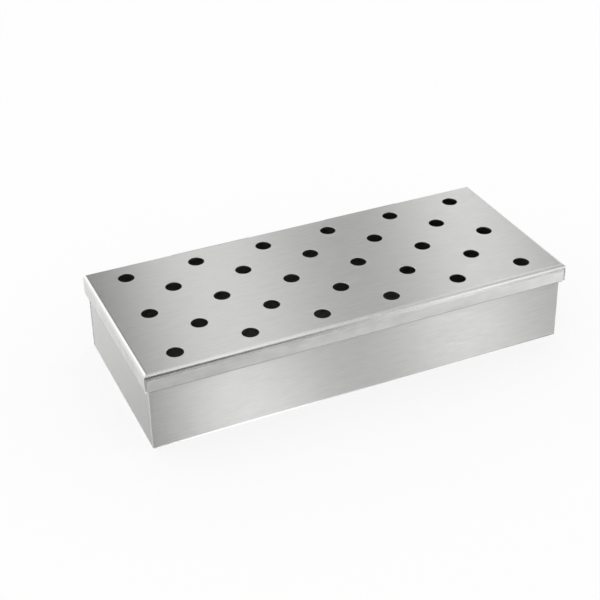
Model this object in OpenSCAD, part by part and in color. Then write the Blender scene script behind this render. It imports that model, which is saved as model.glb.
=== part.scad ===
// Smoker box: a folded steel tray for wood chips, with a perforated lid hinged along its back edge.
// Lengths are in millimetres. X runs along the box, Y from front to back and Z up.
// The origin is on the floor, in the middle of the closed box.

/* [Overall] */
// Length over the lid's two end skirts
box_l = 223; // [180:1:280]
// Width from the lid's front skirt to the back of the box
box_w = 97; // [70:1:130]
// Height from the floor to the top of the closed lid
box_h = 43; // [32:1:70]

/* [Sheet] */
// Thickness of the steel sheet
sheet_t = 0.7; // [0.5:0.1:1]
// Inside radius of the folds at the hinge and of the tray's corner tabs
bend_r = 0.7; // [0.5:0.1:1.5]
// Inside radius of the folds between the lid's top and its skirts
skirt_bend_r = 1.3; // [0.7:0.1:1.5]
// Inside radius of the folds round the tray's bottom, which are pressed tighter
bottom_bend_r = 0.3; // [0.2:0.1:0.7]

/* [Lid] */
// Depth of the skirts, from the top of the lid to their lower edge
skirt_h = 9.5; // [7:0.5:14]
// Rounding of the skirts' lower corners
skirt_corner_r = 1; // [0.5:0.5:3]
// Play between a skirt and the tray wall behind it
skirt_play = 1.5; // [0.8:0.1:2.5]
// Open seam between the front skirt and each end skirt
seam_gap = 0.25; // [0.15:0.05:0.5]
// Gap under the closed lid, above the tray's rim and the hinge knuckles
lid_gap = 0.3; // [0.2:0.1:0.6]

/* [Vent holes] */
// Diameter of a vent hole
hole_d = 8.2; // [4:0.1:10]
// Spacing of the holes along a row
hole_pitch = 37; // [20:0.5:45]
// Spacing of the rows
row_pitch = 18.1; // [12:0.1:24]
// Least distance from an end of the lid to the middle of a hole
end_margin = 17; // [12:1:30]
// Least distance from the front or back of the lid to the middle of a hole
side_margin = 11; // [10:1:20]

/* [Tray] */
// Width of the corner tabs, folded off the end walls and welded inside the long walls
tab_w = 12; // [6:1:20]
// Clear height from the corner tabs up to the hinge knuckles
tab_drop = 6; // [5:0.5:10]

/* [Hinge] */
// Diameter of the hinge pin
pin_d = 2.4; // [1.6:0.1:3]
// Play all round the pin in its knuckles
pin_play = 0.08; // [0.04:0.01:0.1]
// Number of knuckles, an odd number so that the tray has both outer ones
knuckles = 5; // [3:2:9]
// Gap between neighbouring knuckles, and from an outer knuckle to the end wall
knuckle_gap = 0.5; // [0.3:0.1:1]
// Part of a full turn that a knuckle is curled
curl_angle = 290; // [270:1:300]
// Length of the lid's plain back edge past the start of its knuckles' fold
back_lip = 0.3; // [0.1:0.1:0.6]
// Angle to which the lid opens, with room for its back fold in the back wall's notches
lid_open = 100; // [90:1:100]
// Clear room under the lid's back fold in these notches, with the lid open
notch_play = 0.4; // [0.3:0.1:1]

/* [Hidden] */
$fn = 96;
// Extra length of a cutting shape past the face that it cuts
over = 1;
// Outside radii of the folds: at the hinge and the tabs, at the skirts and round the tray's bottom
fold_r = bend_r + sheet_t;
skirt_r = skirt_bend_r + sheet_t;
bottom_r = bottom_bend_r + sheet_t;

// Tray
wall_set = sheet_t + skirt_play;
tray_l = box_l - 2 * wall_set;
front_y = -box_w / 2 + wall_set;
back_y = box_w / 2;
rim_z = box_h - sheet_t - lid_gap;

// Hinge, whose knuckles touch the planes of the back wall and the rim from inside
knuckle_r = pin_d / 2 + pin_play + sheet_t;
axis_y = back_y - knuckle_r;
axis_z = rim_z - knuckle_r;
hinge_l = tray_l - 2 * sheet_t - 2 * knuckle_gap;
knuckle_l = (hinge_l - (knuckles - 1) * knuckle_gap) / knuckles;
knuckle_step = knuckle_l + knuckle_gap;
tab_top = axis_z - knuckle_r - tab_drop;

// Lid, with the centre of its back fold and the height of this centre above the axis with the lid open
skirt_z = box_h - skirt_h;
fold_y = back_y - fold_r;
fold_z = box_h - fold_r;
lid_back_y = fold_y + back_lip;
turned_z = (fold_z - axis_z) * cos(lid_open) - (fold_y - axis_y) * sin(lid_open);
notch_z = axis_z + turned_z - fold_r - notch_play;

// Vent holes, where every second row has one hole fewer and stands half a space along
rows = floor((box_w - 2 * side_margin) / row_pitch) + 1;
row_holes = floor((box_l - 2 * end_margin) / hole_pitch) + 1;

function knuckle_x(i) = (i - (knuckles - 1) / 2) * knuckle_step;
function row_y(r) = ((rows - 1) / 2 - r) * row_pitch;
function holes_in(r) = row_holes - r % 2;
function hole_x(r, i) = (i - (holes_in(r) - 1) / 2) * hole_pitch;

// Extrudes a (Y, Z) outline along X, centred on x
module along_x(len, x = 0) {
    translate([x - len / 2, 0, 0])
        rotate([90, 0, 90])
            linear_extrude(len)
                children();
}

// Extrudes an (X, Z) outline along Y, from y0 to y1
module along_y(y0, y1) {
    translate([0, y1, 0])
        rotate([90, 0, 0])
            linear_extrude(y1 - y0)
                children();
}

// The same shape at both ends of the box
module both_ends() {
    children();
    mirror([1, 0, 0])
        children();
}

// Outline from u0 to u1 and v0 to v1, with its lower corners rounded by r
module round_bottom(u0, u1, v0, v1, r) {
    translate([u0, v0 + r])
        square([u1 - u0, v1 - v0 - r]);
    translate([u0 + r, v0])
        square([u1 - u0 - 2 * r, 2 * r]);
    for (u = [u0 + r, u1 - r])
        translate([u, v0 + r])
            circle(r);
}

// Outline from u0 to u1 and v0 to v1, with its upper corners rounded by r
module round_top(u0, u1, v0, v1, r) {
    mirror([0, 1])
        round_bottom(u0, u1, -v1, -v0, r);
}

// Quarter ring from the outside radius of a fold to its inside radius, about the origin
module fold_outline() {
    intersection() {
        square(fold_r);
        difference() {
            circle(fold_r);
            circle(bend_r);
        }
    }
}

// What is cut off outside a lower left corner at (u, v) to round it by r
module corner_cut(u, v, r) {
    difference() {
        translate([u - over, v - over])
            square(r + over);
        translate([u + r, v + r])
            circle(r);
    }
}

// Sheet curled round the pin, from the back of the knuckle over the top, seen along X
module curl_outline() {
    gap_angle = 360 - curl_angle;
    difference() {
        circle(knuckle_r);
        circle(pin_d / 2 + pin_play);
        polygon([
            [0, 0],
            2 * knuckle_r * [cos(gap_angle), -sin(gap_angle)],
            2 * knuckle_r * [cos(gap_angle / 2), -sin(gap_angle / 2)],
            2 * knuckle_r * [1, 0]
        ]);
    }
}

// Solid block of a tray with folded lower edges, set in by t from the outside of the tray
module tray_block(t, top) {
    intersection() {
        along_x(tray_l - 2 * t)
            round_bottom(front_y + t, back_y - t, t, top, bottom_r - t);
        along_y(front_y + t, back_y - t)
            round_bottom(-tray_l / 2 + t, tray_l / 2 - t, t, top, bottom_r - t);
    }
}

// Places a plan at the four tray corners, with the end wall's outer face at its left
// and the inner face of the long wall at its lower side
module at_corners(z, height) {
    both_ends() {
        translate([-tray_l / 2, front_y + sheet_t, z])
            linear_extrude(height)
                children();
        translate([-tray_l / 2, back_y - sheet_t, z])
            mirror([0, 1, 0])
                linear_extrude(height)
                    children();
    }
}

// Plan of the groove outside the end wall's fold, behind the edge of the long wall
module groove_plan() {
    difference() {
        translate([-over, 0])
            square([over + fold_r, fold_r]);
        translate([fold_r, fold_r])
            circle(fold_r);
    }
}

// Plan of a corner tab with its fold
module tab_plan() {
    translate([fold_r, 0])
        square([tab_w - fold_r, sheet_t]);
    translate([fold_r, fold_r])
        mirror([1, 0])
            mirror([0, 1])
                fold_outline();
}

// Back wall cut away for the hinge, down to the notches where the lid's knuckles turn
module hinge_cuts() {
    cut_y = axis_y - knuckle_r - over;
    inner_l = tray_l - 2 * sheet_t;
    translate([-inner_l / 2, cut_y, axis_z])
        cube([inner_l, box_w, box_h]);
    for (i = [1:2:knuckles - 2])
        translate([knuckle_x(i) - knuckle_l / 2 - knuckle_gap, cut_y, notch_z])
            cube([knuckle_l + 2 * knuckle_gap, box_w, box_h]);
}

// What is cut off the end walls' upper back corner, rounding it about the hinge axis
module end_wall_cuts() {
    along_x(tray_l + 2 * over)
        translate([axis_y, axis_z])
            difference() {
                square(2 * knuckle_r);
                circle(knuckle_r);
            }
}

module tray() {
    color("lightgray") {
        difference() {
            tray_block(0, rim_z);
            tray_block(sheet_t, rim_z + over);
            at_corners(bottom_r, box_h)
                groove_plan();
            hinge_cuts();
            end_wall_cuts();
        }
        at_corners(bottom_r, tab_top - bottom_r)
            tab_plan();
        for (i = [0:2:knuckles - 1])
            along_x(knuckle_l, knuckle_x(i))
                translate([axis_y, axis_z])
                    curl_outline();
    }
}

// Solid block of a lid with folded front and end edges, set in by t, back to the plane y1
module lid_block(t, z0, y1) {
    intersection() {
        along_x(box_l)
            round_top(-box_w / 2 + t, box_w, z0, box_h - t, skirt_r - t);
        along_y(-box_w / 2, y1)
            round_top(-box_l / 2 + t, box_l / 2 - t, z0, box_h - t, skirt_r - t);
    }
}

// Section of one lid knuckle: over the back edge, down behind the pin and curled round it
module lid_knuckle_outline() {
    translate([fold_y - over, box_h - sheet_t])
        square([over, sheet_t]);
    translate([fold_y, fold_z])
        fold_outline();
    translate([back_y - sheet_t, axis_z])
        square([sheet_t, fold_z - axis_z]);
    translate([axis_y, axis_z])
        mirror([0, 1])
            curl_outline();
}

// Slots in the plain back edge where the knuckles are folded off it
module knuckle_slots() {
    for (i = [1:2:knuckles - 2])
        translate([knuckle_x(i) - knuckle_l / 2 - knuckle_gap, fold_y, skirt_z])
            cube([knuckle_l + 2 * knuckle_gap, box_w, box_h]);
}

// What is cut off the front skirt's lower left corner, with that corner at the origin
module front_corner_outline() {
    difference() {
        translate([-seam_gap / 2, -over])
            square([skirt_corner_r + seam_gap / 2, skirt_corner_r + over]);
        translate([skirt_corner_r, skirt_corner_r])
            circle(skirt_corner_r);
    }
}

// What is cut off the skirts' lower corners, and the open seams beside the front skirt
module skirt_cuts() {
    seam_x = -box_l / 2 + sheet_t;
    cut_l = 2 * sheet_t + seam_gap;
    both_ends() {
        along_x(cut_l, -box_l / 2) {
            corner_cut(-box_w / 2, skirt_z, skirt_corner_r);
            mirror([1, 0])
                corner_cut(-lid_back_y, skirt_z, skirt_corner_r);
        }
        along_y(-box_w / 2 - over, -box_w / 2 + skirt_r)
            translate([seam_x + seam_gap, skirt_z])
                front_corner_outline();
        translate([seam_x, -box_w / 2 - over, skirt_z - over])
            cube([seam_gap, over + skirt_r, skirt_h + over - skirt_r]);
    }
}

module vent_holes() {
    for (r = [0:rows - 1], i = [0:holes_in(r) - 1])
        translate([hole_x(r, i), row_y(r), box_h - sheet_t - over])
            cylinder(d = hole_d, h = sheet_t + 2 * over);
}

module lid() {
    color("silver") {
        difference() {
            lid_block(0, skirt_z, lid_back_y);
            lid_block(sheet_t, skirt_z - over, lid_back_y + over);
            knuckle_slots();
            skirt_cuts();
            vent_holes();
        }
        for (i = [1:2:knuckles - 2])
            along_x(knuckle_l, knuckle_x(i))
                lid_knuckle_outline();
    }
}

module hinge_pin() {
    color("gray")
        translate([-hinge_l / 2, axis_y, axis_z])
            rotate([0, 90, 0])
                cylinder(d = pin_d, h = hinge_l);
}

tray();
lid();
hinge_pin();
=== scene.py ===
# %% [markdown]
# # Smoker box in brushed steel
# A low folded box for wood chips, with a lid full of round vent holes. Two sheets and a wire make the whole thing,
# so its look comes from the sheet work: the brush lines, the folds, the punched holes and the sheared edges.
#
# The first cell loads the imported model. Its three solids say where every piece is and how the lid turns.

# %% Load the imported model
import bmesh
import bpy
from math import asin, cos, pi, radians, sin
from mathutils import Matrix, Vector
from mathutils.geometry import delaunay_2d_cdt


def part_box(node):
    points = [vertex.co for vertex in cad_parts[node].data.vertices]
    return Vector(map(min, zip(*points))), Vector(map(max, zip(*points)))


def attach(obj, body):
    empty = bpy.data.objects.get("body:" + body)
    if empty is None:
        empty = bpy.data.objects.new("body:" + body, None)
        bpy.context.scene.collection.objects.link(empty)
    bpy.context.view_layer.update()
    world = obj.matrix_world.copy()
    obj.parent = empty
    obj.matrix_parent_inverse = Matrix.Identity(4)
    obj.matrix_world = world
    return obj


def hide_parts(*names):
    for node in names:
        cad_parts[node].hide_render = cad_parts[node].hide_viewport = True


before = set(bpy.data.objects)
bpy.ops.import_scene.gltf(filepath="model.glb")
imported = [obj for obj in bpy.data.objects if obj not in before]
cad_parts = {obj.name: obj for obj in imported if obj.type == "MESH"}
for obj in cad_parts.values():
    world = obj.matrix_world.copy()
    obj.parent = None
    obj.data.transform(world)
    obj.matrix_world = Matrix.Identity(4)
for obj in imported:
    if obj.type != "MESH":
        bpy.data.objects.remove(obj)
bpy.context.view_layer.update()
MM = 0.001

# %% [markdown]
# ## Camera
# The camera stands to the front left of the box, a little above it. Its place was worked out from the rows of vent
# holes and the lid's outline, whose real sizes are known. The box sits below and left of the middle of the frame.
# The lens shift takes that up, so that the upright edges keep their lean.

# %% Camera
IMAGE_PX = 600
SHIFT_PX = (-25, -85)
camera = bpy.data.objects.new("camera", bpy.data.cameras.new("camera"))
bpy.context.scene.collection.objects.link(camera)
camera.location = (-0.24282, -0.52214, 0.38628)
camera.rotation_euler = (radians(61.544), radians(0.439), radians(-25.19))
camera.data.lens = 80.067
camera.data.sensor_width = 36
camera.data.shift_x, camera.data.shift_y = (shift / IMAGE_PX for shift in SHIFT_PX)
camera.data.clip_start = 0.01
bpy.context.scene.camera = camera
bpy.context.scene.view_settings.view_transform = "Standard"
print("camera at", [round(v, 3) for v in camera.location], "lens", round(camera.data.lens, 1))

# %% [markdown]
# ## Short words for building nodes
# Materials and Geometry Nodes are both trees of nodes. Small helpers keep the cells that build them short: one adds a
# node and fills in its sockets, one does a step of arithmetic, and one starts a material. The last puts a mesh into
# the scene.


# %% Helpers for node trees
def add(tree, kind, sockets=None, **settings):
    """Adds a node, sets its own settings, and fills its input sockets with values or links."""
    node = tree.nodes.new(kind)
    for name, value in settings.items():
        setattr(node, name, value)
    for name, value in (sockets or {}).items():
        socket = node.inputs[name]
        if isinstance(value, bpy.types.NodeSocket):
            tree.links.new(value, socket)
        else:
            socket.default_value = value
    return node


def sums(tree, operation, *values):
    """One step of arithmetic on numbers or sockets, with its result as a socket."""
    return add(tree, "ShaderNodeMath", dict(enumerate(values)), operation=operation).outputs[0]


def new_material(name):
    """An empty material, with its output node."""
    material = bpy.data.materials.new(name)
    material.use_nodes = True
    material.node_tree.nodes.clear()
    return material, material.node_tree, add(material.node_tree, "ShaderNodeOutputMaterial")


def show(name, mesh):
    """Puts a mesh into the scene as an object at the origin."""
    made = bpy.data.objects.new(name, mesh)
    bpy.context.scene.collection.objects.link(made)
    return made


# %% [markdown]
# ## Floor
# The floor is white, and the camera sees it nearly as white as paper with a faint shadow of the box left in it. The
# steel sees it as white too, but also nearly clear, like a sheet of acrylic on a light table: most of what the walls
# mirror is the light of the tent under the floor. That is how the walls get their soft bands.

# %% Floor
FLOOR_HALF = 6.0
FLOOR_PAINT = (0.95, 0.955, 0.95, 1)
WHITE = (1, 1, 1, 1)
CAMERA_WHITENING = 0.75
FLOOR_CLEARNESS = 0.9


def floor_material():
    """White paint that catches the shadow, with plain white mixed in for the camera, and clear for reflections."""
    material, tree, out = new_material("opal_floor")
    path = add(tree, "ShaderNodeLightPath")
    paint = add(tree, "ShaderNodeBsdfDiffuse", {"Color": FLOOR_PAINT})
    white = add(tree, "ShaderNodeEmission", {"Color": WHITE, "Strength": 1.0})
    clear = add(tree, "ShaderNodeBsdfTransparent")
    seen = sums(tree, "ADD", path.outputs["Is Camera Ray"], path.outputs["Is Glossy Ray"])
    seen = sums(tree, "MULTIPLY", sums(tree, "ADD", seen, path.outputs["Is Transmission Ray"]), CAMERA_WHITENING)
    through = sums(tree, "MULTIPLY", path.outputs["Is Glossy Ray"], FLOOR_CLEARNESS)
    lit = add(tree, "ShaderNodeMixShader", {0: seen, 1: paint.outputs[0], 2: white.outputs[0]})
    mix = add(tree, "ShaderNodeMixShader", {0: through, 1: lit.outputs[0], 2: clear.outputs[0]})
    tree.links.new(mix.outputs[0], out.inputs["Surface"])
    return material


corners = [(x * FLOOR_HALF, y * FLOOR_HALF, 0) for x, y in ((-1, -1), (1, -1), (1, 1), (-1, 1))]
mesh = bpy.data.meshes.new("floor")
mesh.from_pydata(corners, [], [(0, 1, 2, 3)])
mesh.materials.append(floor_material())
floor = show("floor", mesh)
print("floor", 2 * FLOOR_HALF, "m across")

# %% [markdown]
# ## Light
# Brushed steel shows no clear picture of the room. Every brush line is a tiny half pipe, which smears what it
# reflects at right angles to itself and keeps it sharp along itself. So lines along the box turn the room into
# bands across it, on the lid and on the front wall alike.
#
# Steel like this is photographed in a light tent. The tent here is a wide tube of white cloth round the box's long
# axis. Only reflections see it, and the white world gives the rest of the light, so the steel is lit plainly and the
# tent only shapes its gloss.

# %% White world
world = bpy.data.worlds.new("studio")
bpy.context.scene.world = world
world.use_nodes = True
background = world.node_tree.nodes["Background"]
background.inputs["Color"].default_value = WHITE
background.inputs["Strength"].default_value = 1.0
print("world strength", background.inputs["Strength"].default_value)

# %% [markdown]
# A photographer shapes the gloss of steel by hanging cloths and cards in the tent, and looks at the bands that they
# draw. The same is done here with lists of stops. One gives the cloth's brightness along the tent, in metres, and one
# round it, in degrees: 0 is level behind the box, 90 overhead, 180 level in front and 270 below. Each patch then
# makes the cloth darker or brighter by some factors round the tent, over a share of its length. The dark flag in
# front draws the dark line below the front fold. The last list goes by the height above the floor, in degrees, and
# gives the end wall its even grey.
#
# The bands lie nearer to the middle on the front wall than on the lid. So the pattern is true to its lengths in the
# part that the lid mirrors, and is drawn in evenly up to the part opposite.

# %% Light tent
TENT_RADIUS = 1.5
TENT_ENDS = (-1.6, 1.6)
TENT_SIDES = 96
TURN_ENDS = (0, 360)
HEIGHT_ENDS = (-90, 90)
DRAWN_IN = 0.03
TRUE_TURN = 35
TENT_LENGTHS = [
    (-1.6, 1.1), (-1.15, 1.6), (-0.8, 1.6), (-0.4, 1.5), (-0.15, 0.45), (0.12, 0.17), (0.20, 0.27), (0.28, 0.94),
    (0.36, 1.12), (0.44, 1.02), (0.54, 0.61), (0.64, 0.43), (0.72, 0.67), (0.80, 1.17), (0.86, 1.30), (0.93, 1.06),
    (1.02, 0.49), (1.16, 0.44), (1.28, 1.3), (1.6, 1.1),
]
TENT_TURNS = [
    (0, 1.0), (40, 1.0), (75, 1.2), (140, 1.5), (165, 1.3), (204, 1.3), (212, 1.5), (250, 1.4), (290, 1.0), (360, 1.0),
]
TURN_PATCHES = {
    "dark flag and low cloth, front left": (
        [(0, 1.0), (152, 1.0), (160, 0.11), (212, 0.11), (227, 1.0), (236, 1.75), (262, 1.75), (272, 1.0), (360, 1.0)],
        [(-1.6, 1.0), (0.42, 1.0), (0.66, 0.0), (1.6, 0.0)]),
    "dark card overhead and cloth in front, right": (
        [(0, 1.06), (50, 1.06), (90, 0.8), (108, 0.5), (145, 0.5), (163, 1.35), (195, 1.35), (207, 1.02), (222, 0.98),
         (235, 0.4), (265, 0.4), (280, 1.0), (340, 1.06), (360, 1.06)],
        [(-1.6, 0.0), (0.5, 0.0), (0.85, 1.0), (1.6, 1.0)]),
    "bright strip, low in front": (
        [(0, 1.0), (222, 1.0), (232, 2.1), (262, 2.1), (272, 1.0), (360, 1.0)],
        [(-1.6, 0.0), (0.24, 0.0), (0.34, 1.0), (0.42, 1.0), (0.6, 0.0), (1.6, 0.0)]),
    "dark card, right end": (
        [(0, 1.0), (170, 1.0), (200, 0.42), (230, 0.3), (238, 0.05), (270, 0.05), (285, 1.0), (360, 1.0)],
        [(-1.6, 0.0), (0.80, 0.0), (0.94, 1.0), (1.06, 1.0), (1.12, 0.0), (1.6, 0.0)]),
    "bright cloth, far right": (
        [(0, 1.0), (180, 1.0), (195, 1.8), (250, 1.8), (270, 1.0), (360, 1.0)],
        [(-1.6, 0.0), (1.06, 0.0), (1.15, 1.0), (1.6, 1.0)]),
    "bright strip, high in front, left end": (
        [(0, 1.0), (90, 1.0), (112, 1.7), (150, 1.7), (160, 1.3), (172, 1.0), (360, 1.0)],
        [(-1.6, 0.0), (-0.3, 0.0), (-0.1, 1.0), (0.17, 1.0), (0.3, 0.0), (1.6, 0.0)]),
    "calmer cloth, far left": (
        [(0, 1.0), (60, 1.0), (90, 0.6), (250, 0.6), (290, 1.0), (360, 1.0)],
        [(-1.6, 1.0), (-0.3, 1.0), (-0.1, 0.0), (1.6, 0.0)]),
}
LOW_LEFT_HEIGHTS = [
    (-90, 3.2), (-51, 3.2), (-43, 0.45), (-39, 0.27), (-36, 0.37), (-31.5, 0.67), (-26, 0.9), (-20, 0.75), (-5, 0.7),
    (8, 1.0), (90, 1.0),
]
LOW_LEFT_LENGTHS = [(-1.6, 1.0), (-0.2, 1.0), (0.15, 0.0), (1.6, 0.0)]


def ramp(tree, source, ends, stops):
    """Turns a number between two ends into the brightness that the stops give for it."""
    low, high = ends
    node = add(tree, "ShaderNodeValToRGB")
    place = add(tree, "ShaderNodeMapRange", {"Value": source, "From Min": low, "From Max": high})
    tree.links.new(place.outputs[0], node.inputs[0])
    marks = node.color_ramp.elements
    while len(marks) > 1:
        marks.remove(marks[-1])
    for index, (at, level) in enumerate(stops):
        mark = marks.new((at - low) / (high - low)) if index else marks[0]
        mark.position = (at - low) / (high - low)
        mark.color = (level, level, level, 1)
    return node.outputs["Color"]


def patch(tree, level, source, ends, stops, length, shares):
    """Changes the cloth's brightness by the factors that the stops give, in the share given for that length."""
    change = sums(tree, "SUBTRACT", ramp(tree, source, ends, stops), 1)
    share = ramp(tree, length, TENT_ENDS, shares)
    return sums(tree, "MULTIPLY", level, sums(tree, "MULTIPLY_ADD", change, share, 1))


def tent_material():
    """Glowing cloth whose brightness follows the stops along the tent and round it, and then the patches."""
    material, tree, out = new_material("tent_cloth")
    parts = add(tree, "ShaderNodeSeparateXYZ", {0: add(tree, "ShaderNodeTexCoord").outputs["Object"]})
    x, y, z = parts.outputs
    turn = sums(tree, "ARCTAN2", z, y)
    toward = sums(tree, "COSINE", sums(tree, "SUBTRACT", turn, radians(TRUE_TURN)))
    length = sums(tree, "MULTIPLY", x, sums(tree, "ADD", 1 + DRAWN_IN, sums(tree, "MULTIPLY", toward, -DRAWN_IN)))
    turn = sums(tree, "MULTIPLY", sums(tree, "FRACT", sums(tree, "DIVIDE", turn, 2 * pi)), TURN_ENDS[1])
    along = ramp(tree, length, TENT_ENDS, TENT_LENGTHS)
    level = sums(tree, "MULTIPLY", along, ramp(tree, turn, TURN_ENDS, TENT_TURNS))
    for turns, shares in TURN_PATCHES.values():
        level = patch(tree, level, turn, TURN_ENDS, turns, x, shares)
    away = sums(tree, "SQRT", sums(tree, "ADD", sums(tree, "POWER", x, 2), sums(tree, "POWER", y, 2)))
    height = sums(tree, "DEGREES", sums(tree, "ARCTAN2", z, away))
    level = patch(tree, level, height, HEIGHT_ENDS, LOW_LEFT_HEIGHTS, x, LOW_LEFT_LENGTHS)
    glow = add(tree, "ShaderNodeEmission", {"Color": level, "Strength": 1.0})
    tree.links.new(glow.outputs[0], out.inputs["Surface"])
    return material


turns = [2 * pi * i / TENT_SIDES for i in range(TENT_SIDES)]
corners = [(x, TENT_RADIUS * cos(turn), TENT_RADIUS * sin(turn)) for x in TENT_ENDS for turn in turns]
faces = [(i, (i + 1) % TENT_SIDES, TENT_SIDES + (i + 1) % TENT_SIDES, TENT_SIDES + i) for i in range(TENT_SIDES)]
mesh = bpy.data.meshes.new("light_tent")
mesh.from_pydata(corners, [], faces)
mesh.materials.append(tent_material())
tent = show("light_tent", mesh)
tent.visible_camera = tent.visible_diffuse = tent.visible_shadow = tent.visible_transmission = False
print("tent", TENT_SIDES, "sides, radius", TENT_RADIUS, "m,", len(TURN_PATCHES) + 1, "patches")

# %% [markdown]
# ## Sizes of the sheet work
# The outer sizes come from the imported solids. The rest are the sheet worker's own numbers, in millimetres, the same
# ones that the solids were made with. The folds are given by their outer radius, and the curl of a hinge knuckle by
# its angle in degrees.

# %% Sizes in millimetres
lid_low, lid_high = (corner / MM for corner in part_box("lid"))
tray_low, tray_high = (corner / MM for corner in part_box("tray"))
pin_low, pin_high = (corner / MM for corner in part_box("hinge_pin"))
SHEET = 0.7
FOLD = 1.4
SKIRT_FOLD = 2.0
BOTTOM_FOLD = 1.0
SKIRT = lid_high.z - lid_low.z
SKIRT_CORNER = 1.0
SEAM = 0.25
BACK_LIP = 0.3
KNUCKLES = 5
KNUCKLE_GAP = 0.5
LID_END = lid_high.x
FRONT = lid_low.y
TOP = lid_high.z
AXIS = ((pin_low + pin_high) / 2).yz
KNUCKLE = tray_high.y - AXIS.x
CURL = 290
FOLD_QUARTER = FOLD * pi / 2
print("lid end", round(LID_END, 2), "front", round(FRONT, 2), "top", round(TOP, 2), "skirt", round(SKIRT, 2))
print("hinge axis", [round(v, 2) for v in AXIS], "knuckle radius", round(KNUCKLE, 2))

# %% [markdown]
# ## A blank that folds
# The real lid and tray are each cut flat from brushed sheet, punched, and then folded. The same way works here. Each
# blank is drawn flat, with its fold lines on it, and every point of it is then carried to its place on the folded
# box. Because the flat blank is also kept as the UV map, the brush lines run through the folds unbroken, as they do
# on the real sheet: along the long walls, and down the short ones.
#
# A walk describes how a section of the sheet runs: straight lengths, and bends with a radius and an angle. Asked for a
# depth below the outer face, it gives the inner face too, which has the same walk with tighter bends.


# %% Walks along a section of the sheet
ROUNDING = 1e-6


def walk(start, heading, side, steps):
    """Finds points along straight runs (length,) and bends (radius, degrees), all of which turn to the same side."""
    legs, length, point, turn = [], 0.0, Vector(start), radians(heading)
    for step in steps:
        if len(step) == 1:
            legs.append((length, point.copy(), turn, 0.0))
            point += step[0] * Vector((cos(turn), sin(turn)))
            length += step[0]
        else:
            radius, angle = step[0], radians(step[1])
            centre = point + radius * side * Vector((-sin(turn), cos(turn)))
            legs.append((length, centre, turn, radius))
            turn += side * angle
            point = centre - radius * side * Vector((-sin(turn), cos(turn)))
            length += radius * angle

    def place(at, depth):
        """The point this far along the walk, at this depth below the outer face."""
        at = max(at, 0.0)
        begin, point, turn, radius = [leg for leg in legs if leg[0] <= at + ROUNDING][-1]
        if radius:
            turn += side * (at - begin) / radius
            return point - (radius - depth) * side * Vector((-sin(turn), cos(turn)))
        return point + (at - begin) * Vector((cos(turn), sin(turn))) + depth * side * Vector((-sin(turn), cos(turn)))

    return place


def round_corner(u, v, radius, first, last, steps=6):
    """Points on an arc round (u, v), from the first angle to the last."""
    turns = [radians(first + (last - first) * i / steps) for i in range(steps + 1)]
    return [(u + radius * cos(turn), v + radius * sin(turn)) for turn in turns]


# %% [markdown]
# A blank is filled with faces by a triangulation that keeps the fold lines as edges and leaves everything between
# them in one piece. The right half is written down, and the left half is its mirror image. Each face is made twice,
# as outer and as inner skin, and a strip of narrow faces closes the cut edge between them. Solidify would do this
# too, but not exactly where three folds meet in a corner. A wall lies flat beyond its fold, so its ends are square.
#
# Every face gets the number of its finish. The cut edges get a weight for a Bevel that comes later. Short stretches
# of them, beside the folds and round the corners, get none, because bevels would meet there in a very small space.

# %% From blank to folded sheet
# The last state is painted shade: a dark line along the skirts' lower edge, standing in for the shadow under them.
BRUSHED, BURNISHED, RUBBED, SHEARED, MILL, SHADOW_LINE = range(6)
TINY = 1e-3
SHORT_CUT = 0.3
WHOLE_REGIONS, SAME_POINT = 3, 1e-4


def mirrored(right):
    """A closed outline from its right half, which starts and ends on the middle line."""
    return right + [(-u, v) for u, v in reversed(right) if u > 0]


def folded_sheet(name, outline, folds, place, zone, flip=False):
    """A mesh of the folded sheet with both its skins and its cut edge, and the flat blank as its UV map."""
    points = [Vector(p) for p in outline] + [Vector(p) for line in folds for p in line]
    first = len(outline)
    lines = [(first + 2 * i, first + 2 * i + 1) for i in range(len(folds))]
    border = tuple(range(first))
    flat, _, faces, _, _, inside = delaunay_2d_cdt(points, lines, [border], WHOLE_REGIONS, SAME_POINT)
    count = len(flat)
    outer = [tuple(face[::-1] if flip else face) for face, kept in zip(faces, inside) if kept]
    inner = [tuple(count + i for i in reversed(face)) for face in outer]
    sides = {(face[i - 1], face[i]) for face in outer for i in range(len(face))}
    rim = [(b, a, count + a, count + b) for a, b in sorted(sides) if (b, a) not in sides]
    mesh = bpy.data.meshes.new(name)
    mesh.from_pydata([place(*p, depth) * MM for depth in (0, SHEET) for p in flat], [], outer + inner + rim)
    blank = mesh.uv_layers.new(name="blank")
    for loop in mesh.loops:
        blank.data[loop.index].uv = flat[loop.vertex_index % count] * MM
    for face in mesh.polygons[:len(outer)]:
        middle = sum((flat[i] for i in face.vertices), Vector((0, 0))) / len(face.vertices)
        face.material_index = zone(*middle)
    for face in mesh.polygons[len(outer):]:
        face.material_index = MILL if face.index < 2 * len(outer) else SHEARED
    work = bmesh.new()
    work.from_mesh(mesh)
    bmesh.ops.delete(work, geom=[v for v in work.verts if not v.link_faces], context="VERTS")
    softened = work.edges.layers.float.new("bevel_weight_edge")
    for edge in work.edges:
        is_cut = sum(face.material_index == SHEARED for face in edge.link_faces) == 1
        edge[softened] = float(is_cut and edge.calc_length() > 2 * SHORT_CUT * MM)
    work.to_mesh(mesh)
    work.free()
    print(name, len(mesh.vertices), "corners,", len(mesh.polygons), "faces")
    return mesh
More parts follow.
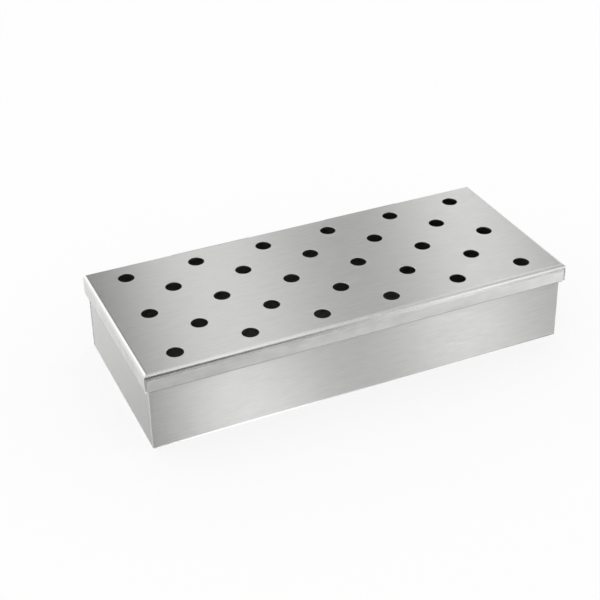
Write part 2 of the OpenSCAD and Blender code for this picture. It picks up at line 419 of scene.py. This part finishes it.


# %% [markdown]
# ## Lid
# The lid's blank is a rectangle with a front flap, two end flaps, and two tongues at the back that curl round the
# hinge pin. The flaps meet in open seams at the front corners. On the blank, u runs along the box and v across it.
#
# Extra lines in the blank mark where its finish changes: the folding tool also wipes the first millimetre below each
# fold, and a thin dark strip along the flaps' lower edge is painted shadow, the shade under the skirt's edge.

# %% Lid blank
BEND_STEPS = 8
CURL_STEPS = 24
ARC_STEPS = 4
WIPED = 1.2
# Width of the painted shadow line along the skirts' lower edge, in millimetres.
SHADOW_LINE_WIDTH = 0.3
flat_x = LID_END - SKIRT_FOLD
flat_y = -FRONT - SKIRT_FOLD
skirt_quarter = SKIRT_FOLD * pi / 2
skirt_drop = SKIRT - SKIRT_FOLD
fold_y, fold_z = tray_high.y - FOLD, TOP - FOLD
plain_back = fold_y + BACK_LIP
curl_length = KNUCKLE * radians(CURL)
tongue_end = fold_y + FOLD_QUARTER + (fold_z - AXIS.y) + curl_length
knuckle_length = (pin_high.x - pin_low.x - (KNUCKLES - 1) * KNUCKLE_GAP) / KNUCKLES
knuckle_step = knuckle_length + KNUCKLE_GAP
tongue_in, tongue_out = knuckle_step - knuckle_length / 2, knuckle_step + knuckle_length / 2
notch_in, notch_out = tongue_in - KNUCKLE_GAP, tongue_out + KNUCKLE_GAP
lid_end_u, lid_front_v = flat_x + skirt_quarter, -flat_y - skirt_quarter

lid_along = walk((-LID_END, TOP - SKIRT), 90, -1, [
    (skirt_drop,), (SKIRT_FOLD, 90), (2 * flat_x,), (SKIRT_FOLD, 90), (skirt_drop,)])
lid_across = walk((FRONT, TOP - SKIRT), 90, -1, [
    (skirt_drop,), (SKIRT_FOLD, 90), (fold_y + flat_y,), (FOLD, 90), (fold_z - AXIS.y,), (KNUCKLE, CURL)])


def lid_place(u, v, depth):
    """Where a point of the lid's blank lies on the folded lid, at this depth below the outer face."""
    in_front_skirt, in_end_skirt = v < lid_front_v - TINY, abs(u) > lid_end_u + TINY
    x, z = lid_along(u + skirt_drop + skirt_quarter + flat_x, 0 if in_front_skirt else depth)
    y, height = lid_across(v + skirt_drop + skirt_quarter + flat_y, 0 if in_end_skirt else depth)
    return Vector((x, y, min(z, height)))


def unrolled(distance, flat):
    """How far along the sheet a point lies that is this far from the middle, in the flat or in the bend."""
    return distance if distance <= flat else flat + SKIRT_FOLD * asin(min(1.0, (distance - flat) / SKIRT_FOLD))


def lid_outline():
    """The right half of the lid's blank from the middle of the front round to the middle of the back, mirrored."""
    end_u, front_v = lid_end_u, lid_front_v
    low_u, low_v = end_u + skirt_drop, front_v - skirt_drop
    front_end = LID_END - SHEET - SEAM
    r = SKIRT_CORNER
    right = [(0, low_v)]
    right += [(unrolled(x, flat_x), v) for x, v in round_corner(front_end - r, low_v + r, r, -90, 0)]
    right += [(unrolled(front_end, flat_x), front_v - SHORT_CUT), (unrolled(front_end, flat_x), front_v)]
    right += [(end_u, front_v), (end_u + SHORT_CUT, front_v)]
    right += [(u, -unrolled(-y, flat_y)) for u, y in round_corner(low_u - r, FRONT + r, r, -90, 0)]
    right += round_corner(low_u - r, plain_back - r, r, 0, 90)
    right += [(notch_out, plain_back), (notch_out, fold_y), (tongue_out, fold_y)]
    right += [(tongue_out, tongue_end), (tongue_in, tongue_end), (tongue_in, fold_y)]
    right += [(notch_in, fold_y), (notch_in, plain_back), (0, plain_back)]
    return mirrored(right)


def lid_folds():
    """The lines across the bends of the lid's blank, and those where its finish changes."""
    end_u, front_v = lid_end_u, lid_front_v
    wiped_u, wiped_v = unrolled(LID_END - SHEET - SEAM, flat_x), front_v - WIPED
    # Lines that bound the painted shadow strip along the flaps' lower edge.
    low_v, low_u = front_v - skirt_drop + SHADOW_LINE_WIDTH, end_u + skirt_drop - SHADOW_LINE_WIDTH
    lines = [((-wiped_u, v), (wiped_u, v)) for v in (wiped_v, low_v)]
    lines += [((side * low_u, front_v), (side * low_u, plain_back)) for side in (-1, 1)]
    for i in range(BEND_STEPS + 1):
        step, back_step = skirt_quarter * i / BEND_STEPS, FOLD_QUARTER * i / BEND_STEPS
        lines.append(((-end_u, -flat_y - step), (end_u, -flat_y - step)))
        for side in (-1, 1):
            lines.append(((side * (flat_x + step), front_v), (side * (flat_x + step), plain_back)))
            lines.append(((side * tongue_in, fold_y + back_step), (side * tongue_out, fold_y + back_step)))
    for side in (-1, 1):
        lines.append(((side * flat_x, -flat_y), (side * end_u, front_v)))
        for i in range(CURL_STEPS):
            v = tongue_end - curl_length + curl_length * i / CURL_STEPS
            lines.append(((side * tongue_in, v), (side * tongue_out, v)))
    return lines


def lid_zone(u, v):
    """The finish of the lid's outer face at this point of the blank."""
    depth = max(abs(u) - flat_x, -v - flat_y) - skirt_quarter
    # The lowest strip of each skirt gets painted shadow: dark steel for the shade under the skirt's edge.
    if depth > skirt_drop - SHADOW_LINE_WIDTH:
        return SHADOW_LINE
    if abs(u) > lid_end_u or depth > WIPED:
        return RUBBED
    if v > fold_y:
        return MILL
    return BURNISHED if abs(u) > flat_x or v < -flat_y else BRUSHED


lid_sheet = folded_sheet("lid_sheet", lid_outline(), lid_folds(), lid_place, lid_zone)

# %% [markdown]
# ## Tray
# The tray's blank is a cross: the bottom, two long walls and two end walls. The end walls carry small tabs that turn
# in behind the long walls and are spot-welded there. The back wall carries three tongues for the hinge, with notches
# between them where the lid's own knuckles turn.
#
# The notches are just deep enough for the lid's back fold, which swings down into them as the lid opens. Their depth
# follows from the angle to which it opens.

# %% Tray blank
TAB = 12.0
TAB_CORNER = 2.0
TAB_DROP = 6.0
RELIEF = 0.3
LID_OPEN = 100
NOTCH_PLAY = 0.4
tray_end, tray_front, tray_back, rim = tray_high.x, tray_low.y, tray_high.y, tray_high.z
bottom_x, bottom_front, bottom_back = tray_end - BOTTOM_FOLD, -tray_front - BOTTOM_FOLD, tray_back - BOTTOM_FOLD
bottom_quarter = BOTTOM_FOLD * pi / 2
tray_end_u = bottom_x + bottom_quarter
tray_front_v, tray_back_v = -bottom_front - bottom_quarter, bottom_back + bottom_quarter
wall_rise = rim - BOTTOM_FOLD
hinge_rise = AXIS.y - BOTTOM_FOLD
tab_front, tab_back = tray_front + SHEET + FOLD, tray_back - SHEET - FOLD
tab_length = FOLD_QUARTER + TAB - FOLD
tab_top = AXIS.y - KNUCKLE - TAB_DROP
turned = (fold_z - AXIS.y) * cos(radians(LID_OPEN)) - (fold_y - AXIS.x) * sin(radians(LID_OPEN))
notch = AXIS.y + turned - FOLD - NOTCH_PLAY
curl_end = tray_back_v + hinge_rise + curl_length
tongue_edge = 2 * knuckle_step + knuckle_length / 2

tray_along = walk((-tray_end, rim), -90, 1, [
    (wall_rise,), (BOTTOM_FOLD, 90), (2 * bottom_x,), (BOTTOM_FOLD, 90), (wall_rise,)])
tray_across = walk((tray_front, rim), -90, 1, [
    (wall_rise,), (BOTTOM_FOLD, 90), (bottom_front + bottom_back,), (BOTTOM_FOLD, 90), (hinge_rise,), (KNUCKLE, CURL)])
tab_walk = walk((0, 0), 90, -1, [(FOLD, 90), (TAB - FOLD,)])


def tray_place(u, v, depth):
    """Where a point of the tray's blank lies on the folded tray, at this depth below the outer face."""
    in_long_wall = not tray_front_v - TINY < v < tray_back_v + TINY
    in_end_wall = abs(u) > tray_end_u + TINY
    x, z = tray_along(u + wall_rise + bottom_quarter + bottom_x, 0 if in_long_wall and not in_end_wall else depth)
    beyond = max(tab_front - v, v - tab_back)
    if in_end_wall and beyond > TINY and BOTTOM_FOLD + RELIEF / 2 < z < tab_top + RELIEF / 2:
        inward, outward = tab_walk(beyond, depth)
        side_x, side_y = (1 if u > 0 else -1), (1 if v > 0 else -1)
        return Vector((side_x * (tray_end - inward), (tab_back if v > 0 else tab_front) + side_y * outward, z))
    y, height = tray_across(v + wall_rise + bottom_quarter + bottom_front, 0 if in_end_wall else depth)
    return Vector((x, y, max(z, height)))


def tray_outline():
    """The right half of the tray's blank from the middle of the front round to the middle of the back, mirrored."""
    end_u, front_v, back_v = tray_end_u, tray_front_v, tray_back_v
    low, high, top = end_u + RELIEF, end_u + tab_top - BOTTOM_FOLD, end_u + wall_rise
    r = TAB_CORNER
    front_tip, back_tip = tab_front - tab_length, tab_back + tab_length
    edge_front, edge_back = tray_front + SHEET + RELIEF, tray_back - SHEET - RELIEF
    arc_turn = asin((edge_back - AXIS.x) / KNUCKLE)
    turns = [arc_turn * i / ARC_STEPS for i in range(ARC_STEPS + 1)]
    arc = [(end_u + hinge_rise + KNUCKLE * cos(turn), AXIS.x + KNUCKLE * sin(turn)) for turn in turns]
    right = [(0, front_v - wall_rise), (end_u, front_v - wall_rise), (end_u, front_v - SHORT_CUT), (end_u, front_v)]
    right += [(end_u, tab_front), (low, tab_front)]
    right += round_corner(low + r, front_tip + r, r, 180, 270) + round_corner(high - r, front_tip + r, r, -90, 0)
    right += [(high, tab_front), (high + RELIEF, tab_front), (high + RELIEF, edge_front), (top, edge_front)]
    right += arc + [(high + RELIEF, edge_back), (high + RELIEF, tab_back), (high, tab_back)]
    right += round_corner(high - r, back_tip - r, r, 0, 90) + round_corner(low + r, back_tip - r, r, 90, 180)
    right += [(low, tab_back), (end_u, tab_back), (end_u, back_v), (end_u, back_v + SHORT_CUT)]
    right += [(end_u, back_v + hinge_rise), (tongue_edge, back_v + hinge_rise), (tongue_edge, curl_end)]
    notch_v = back_v + notch - BOTTOM_FOLD
    right += [(notch_out, curl_end), (notch_out, notch_v), (notch_in, notch_v), (notch_in, curl_end), (0, curl_end)]
    return mirrored(right)


def tray_folds():
    """The lines across the bends of the tray's blank."""
    end_u, front_v, back_v = tray_end_u, tray_front_v, tray_back_v
    low, high = end_u + RELIEF, end_u + tab_top - BOTTOM_FOLD
    lines = []
    for i in range(BEND_STEPS + 1):
        step, tab_step = bottom_quarter * i / BEND_STEPS, FOLD_QUARTER * i / BEND_STEPS
        lines.append(((-end_u, -bottom_front - step), (end_u, -bottom_front - step)))
        lines.append(((-end_u, bottom_back + step), (end_u, bottom_back + step)))
        for side in (-1, 1):
            lines.append(((side * (bottom_x + step), front_v), (side * (bottom_x + step), back_v)))
            lines.append(((side * low, tab_front - tab_step), (side * high, tab_front - tab_step)))
            lines.append(((side * low, tab_back + tab_step), (side * high, tab_back + tab_step)))
    for side in (-1, 1):
        lines.append(((side * bottom_x, -bottom_front), (side * end_u, front_v)))
        lines.append(((side * bottom_x, bottom_back), (side * end_u, back_v)))
    for i in range(CURL_STEPS):
        v = curl_end - curl_length + curl_length * i / CURL_STEPS
        lines += [((start, v), (end, v)) for start, end in (
            (-notch_in, notch_in), (notch_out, tongue_edge), (-tongue_edge, -notch_out))]
    return lines


def tray_zone(u, v):
    """The finish of the tray's outer face at this point of the blank."""
    if v > curl_end - curl_length:
        return MILL
    if abs(u) > tray_end_u:
        in_bend = tab_front - FOLD_QUARTER < v < tab_front or tab_back < v < tab_back + FOLD_QUARTER
    else:
        in_long_bend = tray_front_v < v < -bottom_front or bottom_back < v < tray_back_v
        in_bend = in_long_bend or (abs(u) > bottom_x and tray_front_v < v < tray_back_v)
    return BURNISHED if in_bend else BRUSHED


tray_sheet = folded_sheet("tray_sheet", tray_outline(), tray_folds(), tray_place, tray_zone, flip=True)

# %% [markdown]
# ## Vent holes
# A press tool knocks all 28 holes out of the flat lid at once, one punch for each hole. Geometry Nodes set out those
# punches: a grid of points, with every second row moved along by half a space and one point shorter, and the same
# punch on every point. The punch flares at its top by the small radius that a real punch draws down round a hole, and
# it ends well above and below the sheet. A Boolean then takes the punches out of the lid.

# %% Vent punches with Geometry Nodes
PUNCH_SIDES = 48
PUNCH_RINGS = 5
FLARE_RINGS = 3
FLARE_TOP = 0.98
PUNCH_INPUTS = {
    "Rows": "Int", "Holes in a long row": "Int", "Hole spacing": "Float", "Row spacing": "Float",
    "Hole diameter": "Float", "Rim radius": "Float", "Lid top": "Float", "Reach": "Float", "Finish": "Material",
}


def punch_tree():
    """The tree that sets a flared punch on every point of a staggered grid."""
    tree = bpy.data.node_groups.new("vent_punches", "GeometryNodeTree")
    for name, kind in PUNCH_INPUTS.items():
        tree.interface.new_socket(name=name, in_out="INPUT", socket_type="NodeSocket" + kind)
    tree.interface.new_socket(name="Geometry", in_out="OUTPUT", socket_type="NodeSocketGeometry")
    size = add(tree, "NodeGroupInput").outputs
    long_row, rows = size["Holes in a long row"], size["Rows"]
    grid = add(tree, "GeometryNodeMeshGrid", {
        "Size X": sums(tree, "MULTIPLY", size["Hole spacing"], sums(tree, "SUBTRACT", long_row, 1)),
        "Size Y": sums(tree, "MULTIPLY", size["Row spacing"], sums(tree, "SUBTRACT", rows, 1)),
        "Vertices X": long_row, "Vertices Y": rows})
    index = add(tree, "GeometryNodeInputIndex").outputs[0]
    row = sums(tree, "MODULO", index, rows)
    odd = sums(tree, "MODULO", row, 2)
    column = sums(tree, "FLOOR", sums(tree, "DIVIDE", index, rows))
    last = sums(tree, "COMPARE", column, sums(tree, "SUBTRACT", long_row, 1), 0.1)
    moved = add(tree, "ShaderNodeCombineXYZ", {
        "X": sums(tree, "MULTIPLY", odd, sums(tree, "MULTIPLY", size["Hole spacing"], 0.5)), "Z": size["Lid top"]})
    points = add(tree, "GeometryNodeSetPosition", {"Geometry": grid.outputs["Mesh"], "Offset": moved.outputs[0]})
    fewer = add(tree, "GeometryNodeDeleteGeometry", {
        "Geometry": points.outputs[0], "Selection": sums(tree, "MULTIPLY", odd, last)}, domain="POINT")
    blank = add(tree, "GeometryNodeMeshCylinder", {
        "Vertices": PUNCH_SIDES, "Side Segments": PUNCH_RINGS, "Radius": 1.0, "Depth": float(PUNCH_RINGS)})
    here = add(tree, "ShaderNodeSeparateXYZ", {0: add(tree, "GeometryNodeInputPosition").outputs[0]})
    ring = sums(tree, "ADD", here.outputs["Z"], PUNCH_RINGS / 2)
    step = sums(tree, "MINIMUM", sums(tree, "MAXIMUM", sums(tree, "SUBTRACT", ring, 1), 0), FLARE_RINGS)
    turn = sums(tree, "MULTIPLY", step, pi / 2 / FLARE_RINGS)
    flare = sums(tree, "MULTIPLY", size["Rim radius"], sums(tree, "SUBTRACT", 1, sums(tree, "COSINE", turn)))
    radius = sums(tree, "ADD", sums(tree, "MULTIPLY", size["Hole diameter"], 0.5), flare)
    lift = sums(tree, "MULTIPLY", size["Rim radius"], sums(tree, "SUBTRACT", sums(tree, "SINE", turn), FLARE_TOP))
    below = sums(tree, "MULTIPLY", sums(tree, "LESS_THAN", ring, 0.5), size["Reach"])
    above = sums(tree, "MULTIPLY", sums(tree, "GREATER_THAN", ring, PUNCH_RINGS - 0.5), size["Reach"])
    shape = add(tree, "ShaderNodeCombineXYZ", {
        "X": sums(tree, "MULTIPLY", here.outputs["X"], radius), "Y": sums(tree, "MULTIPLY", here.outputs["Y"], radius),
        "Z": sums(tree, "ADD", lift, sums(tree, "SUBTRACT", above, below))})
    punch = add(tree, "GeometryNodeSetPosition", {"Geometry": blank.outputs["Mesh"], "Position": shape.outputs[0]})
    places = add(tree, "GeometryNodeInstanceOnPoints", {"Points": fewer.outputs[0], "Instance": punch.outputs[0]})
    real = add(tree, "GeometryNodeRealizeInstances", {0: places.outputs[0]})
    finished = add(tree, "GeometryNodeSetMaterial", {"Geometry": real.outputs[0], "Material": size["Finish"]})
    add(tree, "NodeGroupOutput", {"Geometry": finished.outputs[0]})
    return tree


def grown(name, tree, values):
    """The plain mesh that a Geometry Nodes tree makes from these input values."""
    holder = show(name, bpy.data.meshes.new(name))
    modifier = holder.modifiers.new("nodes", "NODES")
    modifier.node_group = tree
    for item in tree.interface.items_tree:
        if item.item_type == "SOCKET" and item.in_out == "INPUT":
            modifier[item.identifier] = values[item.name]
    return settled(holder)


def settled(piece):
    """The piece with its modifiers worked into a plain mesh and taken off."""
    bpy.context.view_layer.update()
    evaluated = piece.evaluated_get(bpy.context.evaluated_depsgraph_get())
    mesh = bpy.data.meshes.new_from_object(evaluated)
    piece.modifiers.clear()
    piece.data = mesh
    mesh.name = piece.name
    return piece


# %% [markdown]
# ## Brushed steel
# The steel is brushed along the length of the sheet before it is cut. Three layers of stretched noise make its grain:
# hair-fine lines that bump the surface and change how smooth it is, broader lines that change how bright it is, and
# soft clouds that change both a little. The anisotropic gloss does the smearing across the lines. The way in which
# the brush ran is stored on each face, worked out from the flat blank, so that the gloss turns with the folds.
#
# The same steel has six states on the box. The flats are as brushed. The bends were burnished by the folding tool
# and reflect more sharply. The skirts were rubbed by the die and are cloudy. The sheared and punched edges are bare
# bright metal without brush lines. A narrow strip of dark steel along the skirts' lower edge is painted shadow, for
# the shade under the skirt's edge. The inside is the sheet's back, which is left as it comes from the mill, dull and
# darker.

# %% Brushed steel
STEEL = (0.66, 0.66, 0.652)
MILL_SKIN = (0.42, 0.42, 0.415)
# Grey of the painted shadow line along the skirts' lower edge.
SHADOW_LINE_GREY = (0.3, 0.3, 0.295)
FINE_LINES = {"length": 5, "width": 0.12, "detail": 2.0}
BROAD_LINES = {"length": 10, "width": 0.7, "detail": 3.0, "offset": 3.7}
CLOUDS = {"detail": 3.0, "offset": 8.1}
GRAIN_DETAIL = 3.0
NOISE_ROUGHNESS = 0.55
NOISE_LOW, NOISE_HIGH = 0.3, 0.7
LINES_ROUGHER = 0.15
CLOUDS_ROUGHER = 0.07
GRAIN_SHADE = 0.06
BUMP_DEPTH = 0.02 * MM
GRAIN_BUMP = 0.25
QUARTER_TURN = 0.25
NO_LENGTH = 1e-12


def brush_direction(mesh):
    """Stores on each face the way in which U of the blank grows, which is the way in which the brush ran."""
    way = mesh.attributes.new("brush", "FLOAT_VECTOR", "FACE")
    blank, spots = mesh.uv_layers["blank"].data, mesh.vertices
    for face in mesh.polygons:
        along, area = Vector((0, 0, 0)), 0.0
        corners = [(spots[mesh.loops[i].vertex_index].co, blank[i].uv) for i in face.loop_indices]
        for (p, a), (q, b) in zip(corners, corners[1:] + corners[:1]):
            along += (p + q) * (b.y - a.y)
            area += (a.x + b.x) * (b.y - a.y)
        along = along * (1 if area > 0 else -1)
        way.data[face.index].vector = along.normalized() if along.length > NO_LENGTH else Vector((1, 0, 0))


def line_noise(tree, blank, length, width, detail, offset=0.0):
    """Noise stretched along the blank into lines of about this length and width, in millimetres."""
    scale = add(tree, "ShaderNodeMapping", {
        "Vector": blank, "Location": (offset, offset, 0), "Scale": (1 / (length * MM), 1 / (width * MM), 1)})
    values = {"Vector": scale.outputs[0], "Scale": 1.0, "Detail": detail, "Roughness": NOISE_ROUGHNESS}
    return add(tree, "ShaderNodeTexNoise", values, noise_dimensions="2D").outputs[0]


def spread(tree, noise, low, high):
    """Noise brought to between a lowest and a highest value."""
    return add(tree, "ShaderNodeMapRange", {
        "Value": noise, "From Min": NOISE_LOW, "From Max": NOISE_HIGH, "To Min": low, "To Max": high}).outputs[0]


def spread_evenly(tree, noise, middle, share):
    """Noise brought to within a share of a middle value."""
    return spread(tree, noise, middle * (1 - share), middle * (1 + share))


def brushed_steel(name, roughness, anisotropy, lines, clouds, bump, cloud_size):
    """Brushed steel: how rough and how smeared it is, how strong its lines, clouds and bump, how big its clouds."""
    material, tree, out = new_material(name)
    blank = add(tree, "ShaderNodeUVMap", uv_map="blank").outputs[0]
    fine = line_noise(tree, blank, **FINE_LINES)
    broad = line_noise(tree, blank, **BROAD_LINES)
    cloud = line_noise(tree, blank, *cloud_size, **CLOUDS)
    shade = sums(tree, "MULTIPLY", spread_evenly(tree, broad, 1, lines), spread_evenly(tree, cloud, 1, clouds))
    colour = add(tree, "ShaderNodeVectorMath", {0: STEEL, "Scale": shade}, operation="SCALE")
    rough = sums(tree, "MULTIPLY",
                 spread_evenly(tree, fine, roughness, LINES_ROUGHER), spread_evenly(tree, cloud, 1, CLOUDS_ROUGHER))
    relief = add(tree, "ShaderNodeBump", {"Height": fine, "Distance": BUMP_DEPTH, "Strength": bump})
    way = add(tree, "ShaderNodeAttribute", attribute_name="brush").outputs["Vector"]
    turned = add(tree, "ShaderNodeVectorTransform", {0: way},
                 vector_type="VECTOR", convert_from="OBJECT", convert_to="WORLD")
    metal = add(tree, "ShaderNodeBsdfPrincipled", {
        "Base Color": colour.outputs[0], "Metallic": 1.0, "Roughness": rough, "Anisotropic": anisotropy,
        "Anisotropic Rotation": QUARTER_TURN, "Normal": relief.outputs[0], "Tangent": turned.outputs[0]})
    tree.links.new(metal.outputs[0], out.inputs["Surface"])
    return material


def plain_steel(name, base, roughness, grain, stretch=(1, 1, 1)):
    """Steel without brush lines: its colour, the range of its roughness, and the size of its grain in millimetres."""
    material, tree, out = new_material(name)
    place = add(tree, "ShaderNodeTexCoord").outputs["Object"]
    scaled = add(tree, "ShaderNodeMapping", {"Vector": place, "Scale": [1 / (grain * MM * k) for k in stretch]})
    values = {"Vector": scaled.outputs[0], "Scale": 1.0, "Detail": GRAIN_DETAIL}
    torn = add(tree, "ShaderNodeTexNoise", values).outputs[0]
    shade = spread_evenly(tree, torn, 1, GRAIN_SHADE)
    colour = add(tree, "ShaderNodeVectorMath", {0: base, "Scale": shade}, operation="SCALE")
    relief = add(tree, "ShaderNodeBump", {"Height": torn, "Distance": BUMP_DEPTH, "Strength": GRAIN_BUMP})
    metal = add(tree, "ShaderNodeBsdfPrincipled", {
        "Base Color": colour.outputs[0], "Metallic": 1.0, "Roughness": spread(tree, torn, *roughness),
        "Normal": relief.outputs[0]})
    tree.links.new(metal.outputs[0], out.inputs["Surface"])
    return material


STATES = [
    brushed_steel("steel_brushed", roughness=0.35, anisotropy=1.0, lines=0.034, clouds=0.02, bump=0.3,
                  cloud_size=(30, 2.5)),
    brushed_steel("steel_burnished", roughness=0.27, anisotropy=0.6, lines=0.02, clouds=0.01, bump=0.05,
                  cloud_size=(16, 9)),
    brushed_steel("steel_rubbed", roughness=0.42, anisotropy=0.5, lines=0.02, clouds=0.07, bump=0.2,
                  cloud_size=(12, 6)),
    plain_steel("steel_sheared", STEEL, roughness=(0.25, 0.4), grain=0.25),
    plain_steel("steel_mill", MILL_SKIN, roughness=(0.38, 0.5), grain=1.2, stretch=(3, 1, 1)),
    # Painted shadow: dark steel along the skirts' lower edge, for the shade under them.
    plain_steel("steel_painted_shadow_line", SHADOW_LINE_GREY, roughness=(0.4, 0.55), grain=0.3),
]
print("steel:", ", ".join(material.name for material in STATES))

# %% [markdown]
# The punches are now set out in this lid's own sizes, in millimetres: five rows, with six holes in each long one. They
# carry the finish of a sheared edge, which the Boolean hands on to the walls of the holes.

# %% Set the punches out
ROWS = 5
LONG_ROW = 6
HOLE_SPACING = 37
ROW_SPACING = 18.1
HOLE = 8.2
HOLE_RIM = 0.2
REACH = 2
punches = grown("vent_punches", punch_tree(), {
    "Rows": ROWS, "Holes in a long row": LONG_ROW, "Hole spacing": HOLE_SPACING * MM, "Row spacing": ROW_SPACING * MM,
    "Hole diameter": HOLE * MM, "Rim radius": HOLE_RIM * MM, "Lid top": TOP * MM, "Reach": REACH * MM,
    "Finish": STATES[SHEARED]})
spots = [corner.co / MM for corner in punches.data.vertices]
reach_x, reach_z = round(max(spot.x for spot in spots), 2), round(max(spot.z for spot in spots), 2)
print("punches", len(spots), "corners, out to x", reach_x, "and up to z", reach_z)

# %% [markdown]
# ## Holes and edges
# First the punches go through the lid. No sheared edge is perfectly sharp, and the thin bright line along it is what
# makes steel look like steel. So a narrow Bevel breaks the cut edges, which carry a bevel weight. Weighted normals
# keep the flats flat right up to their bends and edges.

# %% Holes, broken edges and shading
EDGE_BREAK = 0.1
BREAK_SEGMENTS = 2
SHARP_ANGLE = 50


def sheet_piece(mesh, cutter=None):
    """The finished piece: the folded sheet with its finishes, holes, broken edges and smooth shading."""
    piece = show(mesh.name, mesh)
    for material in STATES:
        mesh.materials.append(material)
    if cutter:
        cut = piece.modifiers.new("holes", "BOOLEAN")
        cut.object = cutter
        cut.solver = "EXACT"
        cut.material_mode = "TRANSFER"
    edges = piece.modifiers.new("broken_edges", "BEVEL")
    edges.width = EDGE_BREAK * MM
    edges.segments = BREAK_SEGMENTS
    edges.limit_method = "WEIGHT"
    edges.use_clamp_overlap = False
    edges.material = SHEARED
    settled(piece)
    for face in piece.data.polygons:
        face.use_smooth = True
    piece.data.set_sharp_from_angle(angle=radians(SHARP_ANGLE))
    flats = piece.modifiers.new("flats", "WEIGHTED_NORMAL")
    flats.mode = "FACE_AREA"
    flats.keep_sharp = True
    settled(piece)
    brush_direction(piece.data)
    print(piece.name, len(piece.data.polygons), "faces,", [m.name for m in piece.data.materials])
    return piece


lid = sheet_piece(lid_sheet, punches)
tray = sheet_piece(tray_sheet)
bpy.data.objects.remove(punches)

# %% [markdown]
# ## Hinge pin
# The pin is a straight piece of drawn wire. Its solid has the right shape already, so it stays and only gets its
# finish: fine lines along its length, from the die that it was drawn through.

# %% Hinge pin
WIRE = (0.6, 0.6, 0.595)
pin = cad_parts["hinge_pin"]
pin.data.materials.clear()
pin.data.materials.append(plain_steel("wire_drawn", WIRE, roughness=(0.28, 0.4), grain=0.15, stretch=(60, 1, 1)))
print("pin", round(pin_high.x - pin_low.x, 1), "mm long")

# %% [markdown]
# ## Join the pieces
# Each folded sheet rides on its body, so that the lid turns on the hinge and the tray stays. It stands in for the
# plain solid of its name, which is hidden.

# %% Join the pieces to the frame
for piece, node, body in ((lid, "lid", "lid"), (tray, "tray", "tray")):
    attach(piece, body)
    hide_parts(node)
    print(piece.name, "rides on", body)
